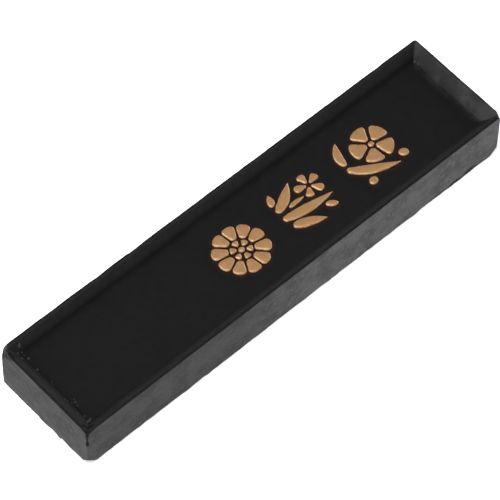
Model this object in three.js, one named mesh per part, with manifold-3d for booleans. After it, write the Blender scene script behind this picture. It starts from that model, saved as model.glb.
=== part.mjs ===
// Ink stick: one pressed block of soot and glue with a sunken front panel. Three ornaments stand up
// from the panel, a chrysanthemum, an orchid and a plum branch, and gold lies on each of their strokes.
// Millimetres. The origin is the middle of the back, +Z points out of the front panel, and +X runs
// along the stick to its top end. The other end is the one that is rubbed down on the ink stone.

import * as THREE from 'three';
import { mergeVertices } from 'three/addons/utils/BufferGeometryUtils.js';
import Module from 'manifold-3d';

const wasm = await Module();
wasm.setup();

// Block
const LENGTH = 97;
const WIDTH = 22.4;
const THICKNESS = 11.5;
const ARRIS = 0.25;                 // bevel around the top of the rim
const SIDE_ROUND = 1.0;             // rounding where the back meets the long sides
const END_ROUND = 1.4;              // rounding where the back meets the ends
const CORNER = 0.7;                 // an upright corner as moulded
const WORN_CORNER = 1.9;            // the one worn away at the rubbed end
const CHIPPED_CORNER = 1.3;         // the one chipped at the top end

// Panel
const RIM = 2.55;                   // from a side of the block to the panel's edge
const RIM_CREST = 0.65;             // flat top of the rim
const PANEL_DEPTH = 2.1;
const COVE_STEPS = 3;

// Ornaments
const RELIEF = 0.45;                // height of a stroke above the panel
const DRAFT = 0.12;                 // how far a stroke's foot stands out from its top
const GOLD_FILM = 0.12;             // gold on top of a stroke
const ORNAMENT_PITCH = 15.2;        // from one ornament's middle to the next along the stick
const ORCHID_X = 11.2;              // the middle one
const ORNAMENT_Y = -0.5;

// Construction
const CLEAR = 1;                    // how far a cutting solid reaches past the block
const CURVE_STEPS = 7;
const PANEL_Z = THICKNESS - PANEL_DEPTH;
const RELIEF_Z = PANEL_Z + RELIEF;

const INK = new THREE.MeshStandardMaterial({ color: 0x26262a, roughness: 0.55, metalness: 0 });
const GOLD = new THREE.MeshStandardMaterial({ color: 0xc4986c, roughness: 0.6, metalness: 0.4 });

// Helpers

function solid(geometry) {
  geometry.deleteAttribute('normal');
  geometry.deleteAttribute('uv');
  const merged = mergeVertices(geometry);
  return new wasm.Manifold(new wasm.Mesh({
    numProp: 3,
    vertProperties: merged.attributes.position.array,
    triVerts: Uint32Array.from(merged.index.array),
  }));
}

function geometryOf(manifold) {
  const mesh = manifold.getMesh();
  const geometry = new THREE.BufferGeometry();
  geometry.setAttribute('position', new THREE.BufferAttribute(mesh.vertProperties, 3));
  geometry.setIndex(new THREE.BufferAttribute(mesh.triVerts, 1));
  geometry.computeVertexNormals();
  return geometry;
}

function prism(outline, depth, bevel = { bevelEnabled: false }) {
  return new THREE.ExtrudeGeometry(outline, { depth, curveSegments: CURVE_STEPS, ...bevel });
}

// A prism centred on the origin along its depth, with its x, its y and its depth laid along three axes.
function beam(outline, depth, xAxis, yAxis, depthAxis) {
  const geometry = prism(outline, depth);
  const axes = [xAxis, yAxis, depthAxis].map((axis) => new THREE.Vector3(...axis));
  geometry.translate(0, 0, -depth / 2);
  geometry.applyMatrix4(new THREE.Matrix4().makeBasis(...axes));
  return solid(geometry);
}

// Block

function planOutline() {
  const x = LENGTH / 2;
  const y = WIDTH / 2;
  const outline = new THREE.Shape();
  outline.moveTo(-x + CORNER, -y);
  outline.lineTo(x - CHIPPED_CORNER, -y);
  outline.quadraticCurveTo(x, -y, x, -y + CHIPPED_CORNER);
  outline.lineTo(x, y - CORNER);
  outline.quadraticCurveTo(x, y, x - CORNER, y);
  outline.lineTo(-x + WORN_CORNER, y);
  outline.quadraticCurveTo(-x, y, -x, y - WORN_CORNER);
  outline.lineTo(-x, -y + CORNER);
  outline.quadraticCurveTo(-x, -y, -x + CORNER, -y);
  return outline;
}

// The outline seen level with the table: rounded at the back, bevelled at the rim.
function levelOutline(width, round) {
  const x = width / 2;
  const outline = new THREE.Shape();
  outline.moveTo(-x + round, 0);
  outline.lineTo(x - round, 0);
  outline.quadraticCurveTo(x, 0, x, round);
  outline.lineTo(x, THICKNESS - ARRIS);
  outline.lineTo(x - ARRIS, THICKNESS);
  outline.lineTo(-x + ARRIS, THICKNESS);
  outline.lineTo(-x, THICKNESS - ARRIS);
  outline.lineTo(-x, round);
  outline.quadraticCurveTo(-x, 0, -x + round, 0);
  return outline;
}

function blank() {
  const plan = beam(planOutline(), 2 * (THICKNESS + CLEAR), [1, 0, 0], [0, 1, 0], [0, 0, 1]);
  const sides = beam(levelOutline(WIDTH, SIDE_ROUND), LENGTH + CLEAR, [0, 1, 0], [0, 0, 1], [1, 0, 0]);
  const ends = beam(levelOutline(LENGTH, END_ROUND), WIDTH + CLEAR, [1, 0, 0], [0, 0, 1], [0, -1, 0]);
  return plan.intersect(sides).intersect(ends);
}

// The wall between the panel and the rim's crest is a shallow cove, which steepens as it rises.
// Its height above the panel, for a share of its width from 0 at the panel to 1 at the crest.
function coveHeight(share) {
  return PANEL_DEPTH * (share + share * share) / 2;
}

// What is pressed out over one step of the cove: it flares along the step and then rises straight.
function hollowStep(step) {
  const low = step / COVE_STEPS;
  const high = (step + 1) / COVE_STEPS;
  const coveWidth = RIM - RIM_CREST;
  const inset = RIM - coveWidth * low;
  const x = LENGTH / 2 - inset;
  const y = WIDTH / 2 - inset;
  const corners = [[-x, -y], [x, -y], [x, y], [-x, y]].map((corner) => new THREE.Vector2(...corner));
  const flared = prism(new THREE.Shape(corners), PANEL_DEPTH + CLEAR, {
    bevelSegments: 1,
    bevelSize: coveWidth * (high - low),
    bevelThickness: coveHeight(high) - coveHeight(low),
  });
  flared.translate(0, 0, PANEL_Z + coveHeight(high));
  return solid(flared);
}

// Outlines of single strokes. Each starts at the origin and runs along +x.

// A dab of the brush, whose straight sides open out from a narrow foot to a round tip.
function petal(length, width, foot) {
  const shoulder = length * 0.6;
  const tip = length * 1.07;
  const flare = width / 2 + (tip / shoulder - 1) * (width - foot) / 2;
  const outline = new THREE.Shape();
  outline.moveTo(0, -foot / 2);
  outline.lineTo(shoulder, -width / 2);
  outline.bezierCurveTo(tip, -flare, tip, flare, shoulder, width / 2);
  outline.lineTo(0, foot / 2);
  outline.quadraticCurveTo(-foot / 3, 0, 0, -foot / 2);
  return outline;
}

// A leaf drawn out from a blunt foot to a sharp tip, with its middle pushed sideways by the bow.
function leaf(length, width, bow) {
  const foot = width * 0.3;
  const belly = length * 0.42;
  const swell = width - foot / 2;
  const outline = new THREE.Shape();
  outline.moveTo(0, foot);
  outline.quadraticCurveTo(-foot, 0, 0, -foot);
  outline.quadraticCurveTo(belly, 2 * bow - swell, length, 0);
  outline.quadraticCurveTo(belly, 2 * bow + swell, 0, foot);
  return outline;
}

function bud(length, width) {
  const outline = new THREE.Shape();
  outline.absellipse(0, 0, length / 2, width / 2, 0, 2 * Math.PI);
  return outline;
}

// Ornaments, each a list of strokes placed about the ornament's own middle

function stroke(name, outline, x, y, degrees) {
  return { name, outline, x, y, turn: THREE.MathUtils.degToRad(degrees) };
}

// Petals that point away from a heart, in a slightly oval ring.
function ring(name, [heartX, heartY], { count, distance, length, width, foot, start, oval }) {
  return Array.from({ length: count }, (_, index) => {
    const degrees = start + 360 * index / count;
    const angle = THREE.MathUtils.degToRad(degrees);
    const reach = length * (1 + oval * Math.cos(2 * angle + 1));
    const x = heartX + distance * Math.cos(angle);
    const y = heartY + distance * Math.sin(angle);
    return stroke(`${name}_${index + 1}`, petal(reach, width, foot), x, y, degrees);
  });
}

function chrysanthemum() {
  const heart = [0, 0];
  const outer = { count: 10, distance: 2.5, length: 2.9, width: 2.4, foot: 1.15, start: 8, oval: 0.05 };
  const inner = { count: 6, distance: 0.97, length: 1.15, width: 1.25, foot: 0.55, start: 30, oval: 0 };
  return [
    ...ring('outer_petal', heart, outer),
    ...ring('inner_petal', heart, inner),
    stroke('heart', bud(1.2, 1.1), ...heart, 0),
  ];
}

function orchid() {
  const heart = [2.5, 2.1];
  const flower = { count: 5, distance: 0.55, length: 2.2, width: 1.5, foot: 0.45, start: 20, oval: 0.08 };
  return [
    ...ring('petal', heart, flower),
    stroke('stalk', leaf(3.4, 0.9, 0.1), -3.0, 0.8, 2),
    stroke('bud', bud(2.3, 1.3), 3.0, -3.4, -35),
    stroke('tall_leaf', leaf(10.3, 1.9, -0.3), -5.4, -0.45, -7),
    stroke('left_leaf', leaf(6.3, 1.9, -0.3), -5.2, 1.45, 33),
    stroke('right_leaf', leaf(6.0, 1.9, 0.1), -4.9, -2.5, -25),
    stroke('low_leaf', leaf(2.4, 1.3, -0.1), -5.3, 3.0, 68),
  ];
}

function plum() {
  const heart = [1.4, 1.1];
  const blossom = { count: 5, distance: 1.05, length: 3.1, width: 3.3, foot: 0.85, start: 25, oval: 0.05 };
  return [
    ...ring('petal', heart, blossom),
    stroke('heart', bud(1.2, 1.1), ...heart, 0),
    stroke('branch', leaf(9.6, 1.9, -0.55), -5.4, -0.4, -29),
    stroke('twig', leaf(4.9, 1.6, 0.45), -5.2, 0.9, 68),
    stroke('upper_bud', bud(1.9, 1.6), 4.6, -3.9, -30),
    stroke('lower_bud', bud(1.8, 1.5), -3.5, -4.8, 20),
  ];
}

// Puts an ornament's strokes on the panel, and names them after it.
function onPanel(ornament, name, x) {
  return ornament.map((item) => ({
    ...item,
    name: `gilt_${name}_${item.name}`,
    x: item.x + x,
    y: item.y + ORNAMENT_Y,
  }));
}

// The ink that stands up under one stroke. Its lower half is inside the block.
function relief({ outline, x, y, turn }) {
  const raised = prism(outline, RELIEF, {
    bevelSegments: 1,
    bevelSize: DRAFT,
    bevelThickness: RELIEF,
  });
  raised.rotateZ(turn);
  raised.translate(x, y, PANEL_Z - RELIEF);
  return solid(raised);
}

function goldOn({ name, outline, x, y, turn }) {
  const film = new THREE.Mesh(prism(outline, GOLD_FILM), GOLD);
  film.name = name;
  film.position.set(x, y, RELIEF_Z);
  film.rotation.z = turn;
  return film;
}

// Assembly

const strokes = [
  ...onPanel(chrysanthemum(), 'chrysanthemum', ORCHID_X - ORNAMENT_PITCH),
  ...onPanel(orchid(), 'orchid', ORCHID_X),
  ...onPanel(plum(), 'plum', ORCHID_X + ORNAMENT_PITCH),
];

let block = blank();
for (let step = 0; step < COVE_STEPS; step += 1) {
  block = block.subtract(hollowStep(step));
}
for (const item of strokes) {
  block = block.add(relief(item));
}

const inkBlock = new THREE.Mesh(geometryOf(block), INK);
inkBlock.name = 'ink_block';

const inkStick = new THREE.Group();
inkStick.add(inkBlock, ...strokes.map(goldOn));

export default inkStick;
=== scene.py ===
import math
from itertools import product

import bpy
import numpy as np
from mathutils import Matrix, Vector
from mathutils.geometry import delaunay_2d_cdt


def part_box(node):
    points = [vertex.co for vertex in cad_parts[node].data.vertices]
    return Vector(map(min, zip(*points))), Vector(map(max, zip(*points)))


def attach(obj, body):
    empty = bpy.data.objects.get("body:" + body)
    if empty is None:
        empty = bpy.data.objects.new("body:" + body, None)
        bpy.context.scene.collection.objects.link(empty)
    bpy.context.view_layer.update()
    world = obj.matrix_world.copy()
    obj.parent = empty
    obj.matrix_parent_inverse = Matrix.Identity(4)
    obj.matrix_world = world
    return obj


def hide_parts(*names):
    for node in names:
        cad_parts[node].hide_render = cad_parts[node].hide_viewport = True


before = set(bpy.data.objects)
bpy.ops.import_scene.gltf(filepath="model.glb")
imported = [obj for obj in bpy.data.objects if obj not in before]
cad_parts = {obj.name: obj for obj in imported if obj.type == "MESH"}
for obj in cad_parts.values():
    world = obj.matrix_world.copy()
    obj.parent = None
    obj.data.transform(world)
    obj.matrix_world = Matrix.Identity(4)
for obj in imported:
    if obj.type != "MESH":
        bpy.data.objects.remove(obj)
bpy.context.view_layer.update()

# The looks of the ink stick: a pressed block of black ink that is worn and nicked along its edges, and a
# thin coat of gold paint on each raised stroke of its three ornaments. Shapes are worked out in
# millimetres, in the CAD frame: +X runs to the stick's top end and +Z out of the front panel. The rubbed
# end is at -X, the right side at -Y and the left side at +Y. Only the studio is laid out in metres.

MM = 0.001
BLOCK = "ink_block"
block_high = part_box(BLOCK)[1] / MM
HALF_LENGTH, HALF_WIDTH, THICKNESS = block_high
BOX_MIDDLE = np.array([0, 0, THICKNESS / 2])
BOX_HALF = np.array([HALF_LENGTH, HALF_WIDTH, THICKNESS / 2])
LOW_X, HIGH_X = -HALF_LENGTH, HALF_LENGTH
LOW_Y, HIGH_Y = -HALF_WIDTH, HALF_WIDTH

# The block, as in the CAD model apart from its rounder or sharper edges
ARRIS = 0.16                    # rounding along the outside of the rim
CREST = 0.65                    # from a side to the inside of the rim's flat top
RIM = 2.55                      # from a side to the panel
PANEL = THICKNESS - 2.1
RIM_WANDER = 0.16               # how unevenly the slopes run
GROOVE = 0.02                   # depth of the line where the slopes meet the panel
GROOVE_WIDTH = 0.15
LONG_WAVE = 0.035               # unevenness of the pressed front, in long and in short waves
SHORT_WAVE = 0.012
SIDE_ROUND = 0.25               # where the back meets the long sides
END_ROUND = 0.45                # where the back meets the ends
CORNERS = {                     # upright corners, by the signs of x and y
    (-1, -1): 0.35,
    (1, -1): 0.3,
    (1, 1): 0.3,
    (-1, 1): 0.3,
}
BOW = 0.025                     # how far the sides bow inwards
RAGGED = 0.02                   # depth of the small dents in the sides
RAGGED_FOOT = 2.5               # how many times as much is added to it at the foot
FOOT = 3                        # height of the ragged foot
SIDES_APART = 100               # far enough for opposite sides to get noise of their own

# The block's grid: finest on the rim, fine round the ornaments, and coarser elsewhere
RIM_BANDS = (                   # from, to, and number of steps
    (0, ARRIS, 4),
    (ARRIS, CREST, 4),
    (CREST, RIM + 0.2, 12),
    (RIM + 0.2, RIM + 1.3, 7),
)
ORNAMENTS_X = (-10, 33)
ORNAMENTS_Y = (-6.5, 5.5)
FINE_STEP = 0.25
COARSE_STEP_X = 0.45
COARSE_STEP_Y = 0.4
SIDE_LINES = 27

# Wear
EDGE_KNOCKS = (                 # axis along the edge (0 is x), front 1 or back -1, deepest knock
    (0, 1, 0.2),
    (0, -1, 0.3),
    (1, 1, 0.13),
    (1, -1, 0.55),
)
KNOCK_LEAN = 0.35               # how far a knock's flat leans to either face of the edge
KNOCK_TURN = 0.06               # how far it turns along the edge
KNOCK_REACH = (1, 3.5)
KNOCK_SPACING = (1.5, 6)
KNOCK_CORE = 0.7                # share of a knock's reach that it flattens fully
CORNER_CHIPS = (                # place, the way the broken face looks, depth, reach
    ((LOW_X, HIGH_Y, THICKNESS), (-0.9, 0.35, 0.27), 0.8, 6),
    ((LOW_X, HIGH_Y, THICKNESS), (-0.4, 0.45, 0.8), 0.75, 4),
    ((LOW_X, HIGH_Y, 0), (-0.5, 0.5, -0.7), 0.35, 3),
    ((LOW_X, LOW_Y, THICKNESS), (-0.3, -0.3, 0.9), 0.55, 3.5),
    ((LOW_X, LOW_Y, 0), (-0.62, -0.58, -0.53), 1.35, 6),
    ((LOW_X, LOW_Y, 0), (-0.8, -0.35, -0.5), 0.95, 6),
    ((LOW_X, LOW_Y, 0), (-0.35, -0.8, -0.5), 0.95, 6),
    ((HIGH_X, LOW_Y, THICKNESS / 2), (0.958, -0.287, 0.03), 0.3, 14),
    ((HIGH_X, LOW_Y, THICKNESS), (0.7, -0.4, 0.6), 0.7, 2.5),
    ((HIGH_X, LOW_Y, 0), (0.5, -0.6, -0.62), 1.15, 6),
    ((HIGH_X, HIGH_Y, THICKNESS), (0.6, 0.6, 0.52), 0.4, 2.5),
)
CRACKS = (                      # start, end, the way it cuts in, width, depth
    ((LOW_X, LOW_Y, THICKNESS), (LOW_X, LOW_Y, THICKNESS - 4), (0.7, 0.7, 0), 0.17, 0.2),
    ((LOW_X, LOW_Y, THICKNESS), (LOW_X, LOW_Y, THICKNESS - 1.1), (0.7, 0.7, 0), 0.6, 0.2),
    ((LOW_X, LOW_Y, THICKNESS - 3.4), (LOW_X, LOW_Y, THICKNESS - 4.2), (0.7, 0.7, 0), 0.36, 0.2),
    ((LOW_X + 1.2, LOW_Y + 1.2, THICKNESS), (LOW_X, LOW_Y, THICKNESS), (0, 0, -1), 0.9, 0.05),
    ((LOW_X, HIGH_Y - 2.5, THICKNESS), (LOW_X, HIGH_Y, THICKNESS - 2.1), (1, 0, 0), 0.7, 0.08),
)
FOOT_CHIPS = (                  # distance from the top end, half length, height
    (6.8, 2.2, 1.7),
    (10.4, 2, 1.6),
    (15.5, 4, 1.1),
    (4, 1, 0.9),
)
FOOT_CHIP_DEPTH = 0.06
FOOT_CHIP_REACH = 3             # how far in from the side they run along the back
PANEL_X = HALF_LENGTH - RIM     # half the panel's length, and half its width
PANEL_Y = HALF_WIDTH - RIM
CRUMB_HEAPS = (                 # x, y, spread, number of crumbs
    (-PANEL_X + 0.3, PANEL_Y - 1.6, 1.5, 22),
    (-PANEL_X + 0.6, -2.5, 1.4, 16),
    (-PANEL_X + 0.2, -PANEL_Y + 0.7, 0.9, 12),
    (PANEL_X - 0.2, PANEL_Y - 0.4, 0.6, 6),
)
CRUMB_HEIGHT = 0.05
CRUMB_RADIUS = (0.1, 0.2)

# Where the ink looks different
CREST_GREY = 0.8                # from a side to where the crest's paler band of wear and painted light starts to fade
CREST_WIDER = 0.5               # how much further off that is on the right side and the rubbed end, where it is painted light on the slopes
CREST_END = 2.6                 # to where it has faded
JUNCTION_SHADE_WIDTH = 0.6              # of the painted shade line where the slopes meet the panel
DUST_AND_LIGHT_FADE = (1.4, 4.2)          # from the top end, where the dust and painted light start to fade and where they are gone
SIDE_LIGHT_X = (-24, 14)             # along the stick, where its sides turn lighter, as painted light
SCRATCHED_Y = (-3, 5)           # across the rubbed end, where its scratches set in

# Gold paint
FOOT_SPREAD = 0.07              # how far the paint runs out past a stroke's top
UNEVEN_EDGE = 0.035             # how unevenly it does so
STROKE_HEIGHT = 0.53            # of the paint's shoulders above the panel
STROKE_CROWN = 0.03             # how much higher the middle of a wide stroke is
SHOULDER = 0.3                  # width of the rounding round a stroke
PAINT = 0.1                     # thickness
BRUSHING = 0.016                # height of the brush marks
SINK = 0.03                     # how far the paint's edge lies below the panel
PAINT_STEP = 0.11               # spacing of the paint's mesh points
PAINT_ROW = PAINT_STEP * 0.87   # spacing of their rows, for nearly even triangles
PAINT_RINGS = (0.05, 0.12, 0.2)     # how far inside the outline the paint's rings of points lie
INK_RISE = (0.25, 0.45)         # how far inside the paint's outline the ink under it rises
HAZE_WIDTH = 0.28               # of the gold dust on the ink round a stroke
HAZE_REACH = 0.8                # how far out it is worked out

# Brightness of the ink, which is a touch purple
PRESSED_INK = (0.0074, 0.0080)  # of the front, from blotch to blotch
# paler crest and upper slopes: wear, and painted light
CREST_WEAR_AND_LIGHT_INK = 0.022
# paler top end slope: dust, and painted light
DUST_AND_LIGHT_INK = 0.039
WORN_INK = 0.06
CRUMB_INK = 0.075
# painted shade in the cracks
CRACK_SHADE_INK = 0.006
SIDE_INK = (0.029, 0.050)       # of the sides, from blotch to blotch
MOTTLED_INK = 0.062
STREAKED_INK = 0.066
SCRATCHED_INK = 0.026
CHIPPED_INK = 0.004

# Colours of the gold
GOLD_HAZE = (0.028, 0.012, 0.006, 1)
RED_GOLD = (0.43, 0.21, 0.088, 1)
GREEN_GOLD = (0.395, 0.238, 0.10, 1)
FLAKE_GOLD = (0.56, 0.375, 0.22, 1)
# paler shoulders of the strokes: rubbed paint, and a painted highlight
RUBBED_AND_HIGHLIGHT_GOLD = (0.76, 0.50, 0.33, 1)
# browner foot of the strokes: thin paint, and painted shade
THIN_AND_SHADED_GOLD = (0.085, 0.034, 0.013, 1)

# Studio, in metres, watts and degrees
SOFTBOXES = (                   # name, azimuth, elevation, distance, size, power
    ("overhead_softbox", -80, 78, 1.2, 0.5, 13.5),
    ("left_softbox", -100, 25, 2.4, 1.6, 25),
    ("rear_softbox", 95, 14, 2.4, 1.4, 26),
)
HORIZON = 0.75                  # brightness of the surroundings, low down and overhead
SKY = 0.025
FLOOR_HALF = 3                  # half the floor's side
FLOOR_GLOW = 0.52
CAMERA_VIEW = (-44.34, 57.74, 2.37)     # azimuth, elevation and roll
CAMERA_LENS = 254.3
CAMERA_DISTANCE = 0.6142
CAMERA_LEFT = 0.00107           # how far left of the line through the block's middle it stands
CAMERA_DOWN = 0.00053           # and how far below that line

LATTICE = 32                    # noise values along each side of the repeating noise lattice


# Noise

def noise(points, size, seed):
    """Smooth seeded noise from -1 to 1, whose bumps are about size millimetres across."""
    lattice = np.random.default_rng(seed).uniform(-1, 1, (LATTICE,) * 3)
    turned = points @ np.array(Matrix.Rotation(0.7 + seed, 3, Vector((1, 2, 3)))).T / size
    cell = np.floor(turned).astype(int)
    share = turned - cell
    share = share * share * (3 - 2 * share)
    total = np.zeros(len(points))
    for corner in product((0, 1), repeat=3):
        index = (cell + corner) % LATTICE
        weight = np.where(corner, share, 1 - share).prod(axis=1)
        total += weight * lattice[tuple(index.T)]
    return total


def rough(points, size, seed, layers=3):
    """Noise with finer noise on top of it."""
    return sum(noise(points, size / 2 ** layer, seed + layer) / 2 ** layer for layer in range(layers))


def smooth(value, low, high):
    """Turns from 0 at low to 1 at high, smoothly."""
    share = np.clip((value - low) / (high - low), 0, 1)
    return share * share * (3 - 2 * share)


# Meshes

def make_object(name, points, faces, attributes=None):
    """A smooth-shaded mesh object from points in millimetres."""
    mesh = bpy.data.meshes.new(name)
    mesh.from_pydata((np.asarray(points) * MM).tolist(), [], faces)
    for key, values in (attributes or {}).items():
        layer = mesh.attributes.new(key, "FLOAT", "POINT")
        layer.data.foreach_set("value", np.asarray(values, np.float32))
    mesh.shade_smooth()
    made = bpy.data.objects.new(name, mesh)
    bpy.context.scene.collection.objects.link(made)
    return made


# Gold strokes: the outlines come first, because the ink under the gold follows them

def top_outline(node):
    """The outline of a CAD stroke's top, in order, anticlockwise from above."""
    points = [tuple(round(c / MM, 4) for c in vertex.co) for vertex in node.data.vertices]
    top = max(point[2] for point in points)
    edges = set()
    for polygon in node.data.polygons:
        corners = [points[index] for index in polygon.vertices]
        if all(corner[2] == top for corner in corners):
            edges.update(zip(corners, corners[1:] + corners[:1]))
    following = {a: b for a, b in edges if (b, a) not in edges}
    loop = [min(following)]
    while following[loop[-1]] != loop[0]:
        loop.append(following[loop[-1]])
    return np.array(loop)[:, :2]


def evened(loop, step):
    """A closed outline with its points the same distance apart."""
    closed = np.vstack([loop, loop[:1]])
    along = np.concatenate([[0], np.cumsum(np.linalg.norm(np.diff(closed, axis=0), axis=1))])
    count = round(along[-1] / step)
    places = np.arange(count) * along[-1] / count
    return np.column_stack([np.interp(places, along, closed[:, axis]) for axis in (0, 1)])


def outward(loop):
    """The outward normals of an anticlockwise outline."""
    run = np.roll(loop, -1, axis=0) - np.roll(loop, 1, axis=0)
    normal = np.column_stack([run[:, 1], -run[:, 0]])
    return normal / np.linalg.norm(normal, axis=1)[:, None]


def paint_outline(node, seed):
    """The edge of the paint on a stroke: a little outside the stroke's top, and slightly uneven."""
    loop = evened(top_outline(node), PAINT_STEP)
    for _ in range(2):
        loop = (np.roll(loop, 1, axis=0) + 2 * loop + np.roll(loop, -1, axis=0)) / 4
    flat = np.column_stack([loop, np.zeros(len(loop))])
    spread = FOOT_SPREAD + UNEVEN_EDGE * rough(flat, 0.9, seed, 2)
    return loop + outward(loop) * spread[:, None]


def depth_inside(points, loop):
    """How far inside an outline each point is, and below 0 outside it."""
    start, end = loop, np.roll(loop, -1, axis=0)
    run = end - start
    gap = points[:, None] - start
    share = np.clip((gap * run).sum(axis=2) / (run * run).sum(axis=1), 0, 1)
    distance = np.linalg.norm(gap - share[..., None] * run, axis=2).min(axis=1)
    above = (start[:, 1] > points[:, 1:]) != (end[:, 1] > points[:, 1:])
    with np.errstate(divide="ignore", invalid="ignore"):
        crossing = start[:, 0] + (points[:, 1:] - start[:, 1]) * run[:, 0] / run[:, 1]
    inside = (above & (points[:, :1] < crossing)).sum(axis=1) % 2 == 1
    return np.where(inside, distance, -distance)


def paint_rise(depth):
    """How high the paint stands above the panel, at a depth inside its outline."""
    share = np.clip(depth / SHOULDER, 0, 1)
    return STROKE_HEIGHT * np.sqrt(1 - (1 - share) ** 2) + STROKE_CROWN * smooth(depth, 0, 1)


# Block: its grid

def grid_lines(half, ornaments, coarse):
    """Places of the grid lines across the block, from one side to the other."""
    rim = np.concatenate([[0], *(np.linspace(low, high, steps + 1)[1:] for low, high, steps in RIM_BANDS)])
    inner = half - rim[-1]
    fine_low, fine_high = ornaments
    spans = [(-inner, fine_low, coarse), (fine_low, fine_high, FINE_STEP), (fine_high, inner, coarse)]
    middle = [np.linspace(low, high, round((high - low) / step) + 1)[:-1] for low, high, step in spans]
    return np.concatenate([-half + rim[:-1], *middle, (half - rim)[::-1]])


def height_lines():
    """Heights of the grid lines up the sides. They are closest together at the back and the front."""
    spread = smooth(np.linspace(-0.02, 1.02, SIDE_LINES), -0.12, 1.12)
    return (spread - spread[0]) / (spread[-1] - spread[0]) * THICKNESS


def grid_box(xs, ys, zs):
    """The surface of a box as a grid of quads."""
    counts = (len(xs), len(ys), len(zs))
    place = np.indices(counts)
    shell = np.zeros(counts, bool)
    for axis, count in enumerate(counts):
        shell |= (place[axis] == 0) | (place[axis] == count - 1)
    ids = np.full(counts, -1)
    ids[shell] = np.arange(shell.sum())
    quads = []
    for sheet, turned in (
        (ids[:, :, -1], False), (ids[:, :, 0], True),
        (ids[:, 0, :], False), (ids[:, -1, :], True),
        (ids[-1, :, :], False), (ids[0, :, :], True),
    ):
        corners = [sheet[:-1, :-1], sheet[1:, :-1], sheet[1:, 1:], sheet[:-1, 1:]]
        faces = np.stack(corners, axis=-1).reshape(-1, 4)
        quads.append(faces[:, ::-1] if turned else faces)
    index = np.argwhere(shell)
    points = np.column_stack([xs[index[:, 0]], ys[index[:, 1]], zs[index[:, 2]]])
    return points, np.concatenate(quads)


# Block: as the mould leaves it

def front_height(inset):
    """How high the front is at a distance in from the block's sides: arris, crest, cove, panel."""
    arris = THICKNESS - ARRIS + np.sqrt(ARRIS ** 2 - (ARRIS - np.clip(inset, 0, ARRIS)) ** 2)
    share = np.clip((RIM - inset) / (RIM - CREST), 0, 1)
    cove = PANEL + (THICKNESS - PANEL) * (share + share ** 2) / 2
    groove = GROOVE * np.exp(-((inset - RIM - 0.05) / GROOVE_WIDTH) ** 2)
    return np.minimum(arris, cove) - groove


def panel_wave(flat):
    """The unevenness of the pressed front, from the flat places of its points."""
    return LONG_WAVE * noise(flat, 14, 3) + SHORT_WAVE * rough(flat, 2.5, 5, 2)


def ink_under_gold(flat, outlines):
    """How far the ink is raised under the gold, and how much gold there is on the ink just outside it."""
    raised = np.zeros(len(flat))
    haze = np.zeros(len(flat))
    for loop in outlines:
        low, high = loop.min(axis=0) - HAZE_REACH, loop.max(axis=0) + HAZE_REACH
        near = np.flatnonzero(((flat > low) & (flat < high)).all(axis=1))
        depth = depth_inside(flat[near], loop)
        height = (paint_rise(depth) - PAINT - SINK) * smooth(depth, *INK_RISE)
        raised[near] = np.maximum(raised[near], np.where(depth > 0, height, 0))
        haze[near] = np.maximum(haze[near], np.exp(-(np.minimum(depth, 0) / HAZE_WIDTH) ** 2))
    return raised, haze


def crumbs(points, on_front):
    """Raises the small grains on the panel, and returns how much each point is in one."""
    random = np.random.default_rng(51)
    places = []
    for x, y, spread, count in CRUMB_HEAPS:
        places += [(x + random.normal(0, spread / 3), y + random.normal(0, spread)) for _ in range(count)]
    amount = np.zeros(len(points))
    for place in places:
        distance = np.linalg.norm(points[:, :2] - place, axis=1)
        radius = random.uniform(*CRUMB_RADIUS)
        strength = random.uniform(0.2, 1)
        grain = np.exp(-(distance / radius) ** 2) * strength
        amount = np.maximum(amount, np.where(on_front, grain, 0))
    points[:, 2] += CRUMB_HEIGHT * amount
    return amount


# Block: rounding and wear

def rounded(first, second, radius):
    """Two distances from an edge's two faces, moved so that the edge is rounded."""
    u = np.clip(1 - first / radius, 0, 1)
    v = np.clip(1 - second / radius, 0, 1)
    both = (u > 0) & (v > 0)
    new_first = radius * (1 - u * np.sqrt(1 - v * v / 2))
    new_second = radius * (1 - v * np.sqrt(1 - u * u / 2))
    return np.where(both, new_first, first), np.where(both, new_second, second)


def round_edges(points):
    """Rounds the block's lower edges and its upright corners."""
    radius = 1 + 0.3 * noise(points, 9, 11)
    for axis, half, edge in ((0, HALF_LENGTH, END_ROUND), (1, HALF_WIDTH, SIDE_ROUND)):
        side = np.sign(points[:, axis])
        gap, points[:, 2] = rounded(half - np.abs(points[:, axis]), points[:, 2], edge * radius)
        points[:, axis] = side * (half - gap)
    for (x_side, y_side), corner in CORNERS.items():
        here = (np.sign(points[:, 0]) == x_side) & (np.sign(points[:, 1]) == y_side)
        x_gap = HALF_LENGTH - np.abs(points[here, 0])
        y_gap = HALF_WIDTH - np.abs(points[here, 1])
        x_gap, y_gap = rounded(x_gap, y_gap, corner)
        points[here, 0] = x_side * (HALF_LENGTH - x_gap)
        points[here, 1] = y_side * (HALF_WIDTH - y_gap)


def bow_sides(points):
    """Bows and dents the sides a little inwards, each in its own way, and least on the panel."""
    inset_x = HALF_LENGTH - np.abs(points[:, 0])
    inset_y = HALF_WIDTH - np.abs(points[:, 1])
    for axis, inset, seed in ((1, inset_y, 31), (0, inset_x, 41)):
        side = np.sign(points[:, axis])
        track = points.copy()
        track[:, axis] = side * SIDES_APART
        bow = BOW * (1 + noise(track, 34, seed)) + BOW * (1 + rough(track, 6, seed + 1, 2))
        foot = 1 + RAGGED_FOOT * (1 - smooth(points[:, 2], 0, FOOT))
        ragged = RAGGED * (1 + rough(track, 1.6, seed + 2)) * foot
        points[:, axis] -= side * (bow + ragged) * (1 - smooth(inset, 0.3, RIM + 0.4))


def knock(points, place, normal, depth, reach):
    """Flattens the block where it stands out past a plane, near a place on its surface."""
    normal = np.array(normal) / np.linalg.norm(normal)
    proud = (points - place) @ normal + depth
    near = 1 - smooth(np.linalg.norm(points - place, axis=1), reach * KNOCK_CORE, reach)
    points -= (np.clip(proud, 0, None) * near)[:, None] * normal


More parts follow.
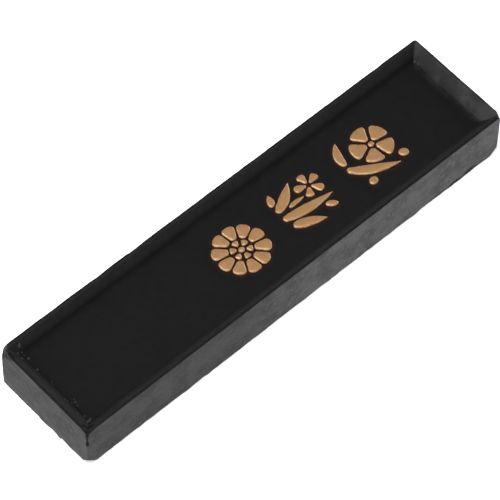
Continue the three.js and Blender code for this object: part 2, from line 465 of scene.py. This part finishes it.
def wear_edges(points):
    """Knocks the block's long edges and its ends' edges here and there, as handling does."""
    random = np.random.default_rng(21)
    for side in (-1, 1):
        for along, front, deepest in EDGE_KNOCKS:
            facing = np.array([0, 0, front], float)
            facing[1 - along] = side
            spot = -BOX_HALF[along]
            while spot < BOX_HALF[along]:
                place = BOX_MIDDLE + facing * BOX_HALF
                place[along] = spot
                normal = facing + random.uniform(-KNOCK_LEAN, KNOCK_LEAN, 3)
                normal[along] = random.uniform(-KNOCK_TURN, KNOCK_TURN)
                depth = deepest * random.uniform(0.1, 1)
                knock(points, place, normal, depth, random.uniform(*KNOCK_REACH))
                spot += random.uniform(*KNOCK_SPACING)


def wear_corners(points):
    """The chips and flats on the block's corners."""
    for place, normal, depth, reach in CORNER_CHIPS:
        knock(points, np.array(place), normal, depth, reach)


def score(points, rest):
    """Cuts the cracks by two corners of the rubbed end, and returns how much each point is in one; the ink
    is darkened there as painted shade.
    """
    crack_shade = np.zeros(len(points))
    for start, end, inwards, width, depth in CRACKS:
        run = np.subtract(end, start)
        share = np.clip((rest - start) @ run / (run @ run), 0, 1)
        distance = np.linalg.norm(rest - start - share[:, None] * run, axis=1)
        amount = np.exp(-(distance / width * (1 + 0.35 * noise(rest, 1.2, 71))) ** 2)
        points += depth * amount[:, None] * inwards
        crack_shade = np.maximum(crack_shade, amount)
    return crack_shade


def chip_foot(points, rest):
    """Breaks chips out of the right side's lower edge, and returns how much each point is in one."""
    chipped = np.zeros(len(points))
    for from_end, half_length, height in FOOT_CHIPS:
        gap = (rest - (HIGH_X - from_end, LOW_Y, 0)) / (half_length, FOOT_CHIP_REACH, height)
        distance = np.linalg.norm(gap, axis=1) + 0.2 * noise(rest, 1.2, 61)
        chipped = np.maximum(chipped, 1 - smooth(distance, 0.8, 1.1))
    points[:, 1] += FOOT_CHIP_DEPTH * chipped
    return chipped


# Block: assembly

def ink_regions(rest, on_front, inset_x, inset_y, wander):
    """How much each point is in each region that has a look of its own, from 0 to 1."""
    inset = np.minimum(inset_x, inset_y)
    on_ends = smooth(inset_y - inset_x, -0.1, 0.1)
    on_top_end = on_ends * (rest[:, 0] > 0)
    on_right_side = (1 - on_ends) * (rest[:, 1] < 0)
    # the crest's paler band reaches further down the slopes of the right side and the rubbed end, as
    # painted light
    crest_grey = CREST_GREY + CREST_WIDER * (on_right_side + on_ends - on_top_end)
    # painted shade along the line where the slopes meet the panel, left off at the top end and on the right
    # side
    junction = np.exp(-((wander - RIM + 0.1) / JUNCTION_SHADE_WIDTH) ** 2)
    return {
        "front": np.maximum(on_front, smooth(rest[:, 2], THICKNESS - 2 * ARRIS, THICKNESS - ARRIS)),
        "crest": on_front * smooth(inset, 0.2, 0.7) * (1 - smooth(inset, crest_grey, CREST_END)),
        "painted_junction_shade": on_front * junction * (1 - on_top_end - on_right_side),
        # dust and painted light on the top end's slope and the panel just inside it
        "dust_and_light": on_front * on_top_end * (1 - smooth(wander, *DUST_AND_LIGHT_FADE)),
        # painted light: the sides lighter towards the top end
        "side_light_gradient": smooth(rest[:, 0], *SIDE_LIGHT_X),
        "rubbed_end": smooth(-rest[:, 0], HIGH_X - 0.1, HIGH_X) * smooth(rest[:, 1], *SCRATCHED_Y),
    }


def build_block(outlines):
    """The block of ink: a fine grid, pressed into shape and then rounded, worn, cracked and chipped."""
    xs = grid_lines(HALF_LENGTH, ORNAMENTS_X, COARSE_STEP_X)
    ys = grid_lines(HALF_WIDTH, ORNAMENTS_Y, COARSE_STEP_Y)
    points, quads = grid_box(xs, ys, height_lines())
    on_front = points[:, 2] == points[:, 2].max()
    inset_x = HALF_LENGTH - np.abs(points[:, 0])
    inset_y = HALF_WIDTH - np.abs(points[:, 1])
    inset = np.minimum(inset_x, inset_y)
    flat = points * (1, 1, 0)
    wander = inset + RIM_WANDER * rough(flat, 4, 7, 2) * smooth(inset, CREST, RIM)
    below_rim = points[:, 2] / THICKNESS * (THICKNESS - ARRIS)
    points[:, 2] = np.where(on_front, front_height(wander), below_rim)
    wave = panel_wave(flat) * smooth(inset, 0.3, RIM)
    raised, haze = ink_under_gold(points[:, :2], outlines)
    points[:, 2] += np.where(on_front, wave + raised, 0)
    crumb = crumbs(points, on_front)
    rest = points.copy()
    round_edges(points)
    bow_sides(points)
    whole = points.copy()
    wear_edges(points)
    wear_corners(points)
    worn = np.linalg.norm(points - whole, axis=1)
    attributes = ink_regions(rest, on_front, inset_x, inset_y, wander)
    attributes["crumb"] = crumb
    attributes["haze"] = haze * on_front
    attributes["worn"] = smooth(worn, 0.02, 0.2)
    attributes["crack_shade"] = score(points, rest)
    attributes["chipped"] = chip_foot(points, rest)
    points = np.clip(points, BOX_MIDDLE - BOX_HALF, BOX_MIDDLE + BOX_HALF)
    return make_object("pressed_ink", points, quads.tolist(), attributes)


# Paint

def paint_points(loop):
    """The paint's points from above: its outline, rings close inside it, and an even lattice."""
    normal = outward(loop)
    rings = []
    for inset in PAINT_RINGS:
        ring = loop - normal * inset
        rings.append(ring[depth_inside(ring, loop) > inset * 0.9])
    low, high = loop.min(axis=0), loop.max(axis=0)
    columns = np.arange(low[0], high[0], PAINT_STEP)
    rows = np.arange(low[1], high[1], PAINT_ROW)
    lattice = np.array([(x + PAINT_STEP / 2 * (row % 2), y) for row, y in enumerate(rows) for x in columns])
    lattice = lattice[depth_inside(lattice, loop) > PAINT_RINGS[-1] + PAINT_STEP * 0.6]
    return np.vstack([loop, *rings, lattice])


def build_paint(name, loop, seed):
    """A thin closed coat over one stroke: a rounded outer surface and one just under it."""
    count = len(loop)
    edge = [(index, (index + 1) % count) for index in range(count)]
    made = delaunay_2d_cdt([Vector(point) for point in paint_points(loop)], edge, [], 1, 1e-5)
    flat = np.array([tuple(point) for point in made[0]])
    triangles = np.array(made[2])
    depth = np.clip(depth_inside(flat, loop), 0, None)
    on_edge = np.zeros(len(flat), bool)
    on_edge[:count] = True
    depth[on_edge] = 0
    ground = np.column_stack([flat, np.zeros(len(flat))])
    base = PANEL + panel_wave(ground)
    brushed = BRUSHING * rough(ground * (0.5, 1.6, 1), 0.55, seed, 2) * smooth(depth, 0, 0.3)
    outer = base + paint_rise(depth) + brushed - SINK * on_edge
    inner = outer - PAINT * smooth(depth, -0.03, 0.12)
    top = np.column_stack([flat, outer])
    hidden = np.column_stack([flat, inner])[count:]
    under = np.where(triangles < count, triangles, triangles + len(flat) - count)
    faces = triangles.tolist() + under[:, ::-1].tolist()
    worn = np.concatenate([depth, depth[count:]])
    return make_object(name, np.vstack([top, hidden]), faces, {"depth": worn})


# Nodes

def add_node(tree, kind, inputs=None, **settings):
    """A node with its settings, and with each input linked or given its value."""
    node = tree.nodes.new(kind)
    for key, value in settings.items():
        setattr(node, key, value)
    for key, value in (inputs or {}).items():
        if isinstance(value, bpy.types.NodeSocket):
            tree.links.new(value, node.inputs[key])
        else:
            node.inputs[key].default_value = value
    return node


def new_material(name):
    """A material, its node tree, its shader and the place on the object in metres."""
    material = bpy.data.materials.new(name)
    material.use_nodes = True
    tree = material.node_tree
    place = add_node(tree, "ShaderNodeTexCoord").outputs["Object"]
    return material, tree, tree.nodes["Principled BSDF"], place


def texture(tree, place, size, detail, stretch=None, turn=(0, 0, 0)):
    """Noise from 0 to 1 with bumps of a size in millimetres."""
    if stretch:
        place = add_node(
            tree, "ShaderNodeMapping", {"Vector": place, "Scale": stretch, "Rotation": turn}
        ).outputs["Vector"]
    settings = {"Vector": place, "Scale": 1 / (size * MM), "Detail": detail}
    return add_node(tree, "ShaderNodeTexNoise", settings).outputs["Fac"]


def ranged(tree, value, low, high, to_low=0.0, to_high=1.0):
    """A value brought smoothly from one range to another, and held at its ends."""
    inputs = {"Value": value, "From Min": low, "From Max": high, "To Min": to_low, "To Max": to_high}
    return add_node(tree, "ShaderNodeMapRange", inputs, interpolation_type="SMOOTHSTEP").outputs["Result"]


def maths(tree, operation, first, second):
    return add_node(tree, "ShaderNodeMath", {0: first, 1: second}, operation=operation).outputs[0]


def blend_colours(tree, share, first, second):
    inputs = {0: share, 6: first, 7: second}
    return add_node(tree, "ShaderNodeMix", inputs, data_type="RGBA").outputs[2]


def scaled(tree, colour, factor):
    inputs = {0: colour, "Scale": factor}
    return add_node(tree, "ShaderNodeVectorMath", inputs, operation="SCALE").outputs["Vector"]


def attribute(tree, name):
    return add_node(tree, "ShaderNodeAttribute", attribute_name=name).outputs["Fac"]


def bump(tree, height, distance, normal=None):
    """Bumps of a height in millimetres."""
    inputs = {"Height": height, "Distance": distance * MM}
    if normal:
        inputs["Normal"] = normal
    return add_node(tree, "ShaderNodeBump", inputs).outputs["Normal"]


def grey(value):
    return (value, value, value, 1)


def ink(value):
    """The colour of dry ink at a brightness."""
    return (value * 1.01, value * 0.97, value * 1.01, 1)


# Materials

def side_colour(tree, place, blotch, mottle, grain):
    """Powdery grey sides: blotched and streaked, scratched at the rubbed end, black in the chips, and
    lighter towards the top end as painted light.
    """
    streak = texture(tree, place, 1.2, 3, (1, 0.5, 1.2), (0.8, 0, 0))
    scratch = texture(tree, place, 0.9, 3, (1, 0.12, 1), (0.75, 0, 0))
    scratched = maths(tree, "MULTIPLY", attribute(tree, "rubbed_end"), ranged(tree, scratch, 0.5, 0.62))
    side = blend_colours(tree, ranged(tree, blotch, 0.35, 0.65), ink(SIDE_INK[0]), ink(SIDE_INK[1]))
    side = blend_colours(tree, ranged(tree, mottle, 0.48, 0.72), side, ink(MOTTLED_INK))
    side = blend_colours(tree, ranged(tree, streak, 0.6, 0.78), side, ink(STREAKED_INK))
    side = blend_colours(tree, scratched, side, ink(SCRATCHED_INK))
    side = scaled(tree, side, ranged(tree, grain, 0.25, 0.75, 0.75, 1.25))
    side = blend_colours(tree, attribute(tree, "chipped"), side, ink(CHIPPED_INK))
    # painted light: the sides brightened towards the top end, as if lit more there
    return scaled(tree, side, ranged(tree, attribute(tree, "side_light_gradient"), 0, 1, 1.0, 1.69))


def pressed_colour(tree, blotch, mottle):
    """The black pressed front: greyer on its crest (wear and painted light) and at the top end (dust and
    painted light), darker at the foot of the slopes (painted shade), and with gold round the strokes.
    """
    rubbed_and_lit = maths(tree, "MULTIPLY", attribute(tree, "crest"), ranged(tree, mottle, 0.3, 0.7, 0.7, 1.0))
    dust_and_light = maths(tree, "MULTIPLY", attribute(tree, "dust_and_light"), ranged(tree, blotch, 0.38, 0.6, 0.3, 1.0))
    worn = maths(tree, "MULTIPLY", attribute(tree, "worn"), ranged(tree, mottle, 0.35, 0.6))
    pressed = blend_colours(tree, ranged(tree, blotch, 0.3, 0.7), ink(PRESSED_INK[0]), ink(PRESSED_INK[1]))
    # wear and painted light: the crest and upper slopes paler
    pressed = blend_colours(tree, rubbed_and_lit, pressed, ink(CREST_WEAR_AND_LIGHT_INK))
    # dust and painted light: the top end's slope and the panel at its foot paler, as if lit
    pressed = blend_colours(tree, dust_and_light, pressed, ink(DUST_AND_LIGHT_INK))
    # painted shade: the front darkened where the slopes meet the panel, as if shaded in the crease
    pressed = scaled(tree, pressed, ranged(tree, attribute(tree, "painted_junction_shade"), 0, 1, 1.0, 0.6))
    pressed = blend_colours(tree, worn, pressed, ink(WORN_INK))
    return blend_colours(tree, attribute(tree, "haze"), pressed, GOLD_HAZE)


def ink_material():
    """Matte black ink: smoother on the pressed front, greyer and mottled on the sides, pale where worn."""
    material, tree, shader, place = new_material("pressed_ink")
    front = attribute(tree, "front")
    blotch = texture(tree, place, 4.0, 4)
    mottle = texture(tree, place, 1.1, 4)
    grain = texture(tree, place, 0.3, 3)

    side = side_colour(tree, place, blotch, mottle, grain)
    colour = blend_colours(tree, front, side, pressed_colour(tree, blotch, mottle))
    crumb = ranged(tree, attribute(tree, "crumb"), 0.1, 0.8)
    colour = blend_colours(tree, crumb, colour, ink(CRUMB_INK))
    # painted shade: the cracks darkened, as if shaded inside
    crack_shade = ranged(tree, attribute(tree, "crack_shade"), 0.1, 0.55)
    colour = blend_colours(tree, crack_shade, colour, ink(CRACK_SHADE_INK))
    tree.links.new(colour, shader.inputs["Base Color"])

    roughness = ranged(tree, front, 0, 1, 0.62, 0.5)
    roughness = maths(tree, "ADD", roughness, ranged(tree, mottle, 0.3, 0.7, -0.05, 0.05))
    tree.links.new(roughness, shader.inputs["Roughness"])
    shader.inputs["IOR"].default_value = 1.45
    shader.inputs["Specular IOR Level"].default_value = 0.1

    coarse = bump(tree, mottle, 0.05)
    tree.links.new(bump(tree, grain, 0.02, coarse), shader.inputs["Normal"])
    return material


def gold_material():
    """Matte gold paint, brushed on thinly: paler round its shoulders, where it is rubbed and has a painted
    highlight, and browner at its foot, where it is thin and has painted shade.
    """
    material, tree, shader, place = new_material("gold_paint")
    depth = attribute(tree, "depth")
    brushed = texture(tree, place, 0.7, 3, (0.5, 1.5, 1), (0, 0, 0.4))
    flakes = texture(tree, place, 0.09, 2)
    patch = texture(tree, place, 1.6, 3)
    # rubbed paint and painted highlight: the strokes' shoulders paler
    rubbed_and_lit = ranged(tree, brushed, 0.4, 0.6, 0.25, 0.9)
    rubbed_and_lit = maths(tree, "MULTIPLY", ranged(tree, depth, 0.26, 0.14), rubbed_and_lit)

    paint = blend_colours(tree, ranged(tree, patch, 0.3, 0.7), RED_GOLD, GREEN_GOLD)
    paint = blend_colours(tree, ranged(tree, flakes, 0.55, 0.8, 0, 0.5), paint, FLAKE_GOLD)
    paint = blend_colours(tree, rubbed_and_lit, paint, RUBBED_AND_HIGHLIGHT_GOLD)
    # thin paint and painted shade: the strokes' foot browner, as if shaded where it meets the panel
    paint = blend_colours(tree, ranged(tree, depth, 0.0, 0.11), THIN_AND_SHADED_GOLD, paint)
    tree.links.new(paint, shader.inputs["Base Color"])
    shader.inputs["Metallic"].default_value = 0.45
    tree.links.new(ranged(tree, flakes, 0.3, 0.7, 0.38, 0.56), shader.inputs["Roughness"])
    streaks = bump(tree, brushed, 0.03)
    tree.links.new(bump(tree, flakes, 0.012, streaks), shader.inputs["Normal"])
    return material


def floor_material():
    """A white light table: its own light leaves hardly any shadow round the block."""
    material, tree, shader, place = new_material("pale_floor")
    shade = texture(tree, place, 60, 2)
    colour = blend_colours(tree, shade, grey(0.90), grey(0.93))
    tree.links.new(colour, shader.inputs["Base Color"])
    shader.inputs["Roughness"].default_value = 0.9
    shader.inputs["Emission Color"].default_value = grey(1)
    shader.inputs["Emission Strength"].default_value = FLOOR_GLOW
    return material


# Studio

def build_floor():
    half = FLOOR_HALF / MM
    corners = [(-half, -half, 0), (half, -half, 0), (half, half, 0), (-half, half, 0)]
    floor = make_object("floor", corners, [(0, 1, 2, 3)])
    floor.data.materials.append(floor_material())


def light_world():
    """A pale horizon and a darker sky, so that the front mirrors something dark."""
    world = bpy.data.worlds.new("studio")
    bpy.context.scene.world = world
    world.use_nodes = True
    tree = world.node_tree
    direction = add_node(tree, "ShaderNodeTexCoord").outputs["Generated"]
    height = add_node(tree, "ShaderNodeSeparateXYZ", {0: direction}).outputs["Z"]
    sky = blend_colours(tree, ranged(tree, height, 0.15, 0.6), grey(HORIZON), grey(SKY))
    tree.links.new(sky, tree.nodes["Background"].inputs["Color"])


def view_axes(azimuth, elevation, roll=0.0):
    """Backward, right and up directions of a viewer. Azimuth 0 looks along +Y."""
    a, e, r = (math.radians(angle) for angle in (azimuth, elevation, roll))
    back = Vector((math.sin(a) * math.cos(e), -math.cos(a) * math.cos(e), math.sin(e)))
    level = Vector((math.cos(a), math.sin(a), 0))
    upright = back.cross(level)
    right = level * math.cos(r) + upright * math.sin(r)
    return back, right, back.cross(right)


def add_softbox(name, azimuth, elevation, distance, size, power):
    """A square soft light that looks at the block from an azimuth and elevation."""
    light = bpy.data.lights.new(name, "AREA")
    light.size = size
    light.energy = power
    made = bpy.data.objects.new(name, light)
    bpy.context.scene.collection.objects.link(made)
    back, _, _ = view_axes(azimuth, elevation)
    made.location = back * distance
    made.rotation_mode = "QUATERNION"
    made.rotation_quaternion = back.to_track_quat("Z", "Y")


def add_camera():
    camera = bpy.data.objects.new("camera", bpy.data.cameras.new("camera"))
    bpy.context.scene.collection.objects.link(camera)
    camera.data.lens = CAMERA_LENS
    back, right, up = view_axes(*CAMERA_VIEW)
    middle = Vector(BOX_MIDDLE * MM)
    camera.location = middle + back * CAMERA_DISTANCE - right * CAMERA_LEFT - up * CAMERA_DOWN
    camera.rotation_mode = "QUATERNION"
    camera.rotation_quaternion = Matrix((right, up, back)).transposed().to_quaternion()
    bpy.context.scene.camera = camera


# Assembly

gilt_nodes = sorted(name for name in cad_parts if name.startswith("gilt_"))
outlines = [paint_outline(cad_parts[name], 100 + index) for index, name in enumerate(gilt_nodes)]

block = build_block(outlines)
block.data.materials.append(ink_material())
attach(block, "root")
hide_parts(BLOCK)

gold = gold_material()
for index, name in enumerate(gilt_nodes):
    coat = build_paint(name.replace("gilt_", "paint_"), outlines[index], 200 + index)
    coat.data.materials.append(gold)
    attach(coat, "root")
    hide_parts(name)

build_floor()
light_world()
for softbox in SOFTBOXES:
    add_softbox(*softbox)
add_camera()
bpy.context.scene.view_settings.view_transform = "Standard"
